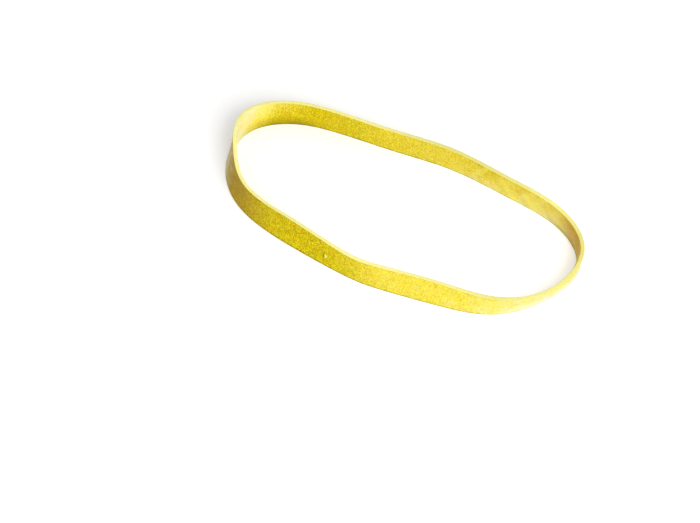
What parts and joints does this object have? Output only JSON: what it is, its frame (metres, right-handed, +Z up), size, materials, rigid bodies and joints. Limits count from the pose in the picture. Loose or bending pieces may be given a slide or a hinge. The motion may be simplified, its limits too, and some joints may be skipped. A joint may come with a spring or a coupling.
{
  "type": "rubber band",
  "caption": "Yellow rubber band: one closed loop of thin flat strip lying open on its cut edge, for holding things together.",
  "frame": {"origin": "on the ground below the middle of the loop's box", "axes": "+X along the loop's long way, +Y across the loop, +Z up across the strip's width; the loop stands on its lower cut edge at Z 0"},
  "size_m": [0.0764, 0.0342, 0.006],
  "materials": {
    "yellow_rubber": "matt, slightly dusty natural rubber"
  },
  "bodies": {
    "root": {"rubber_band": "yellow_rubber"}
  },
  "joints": []
}
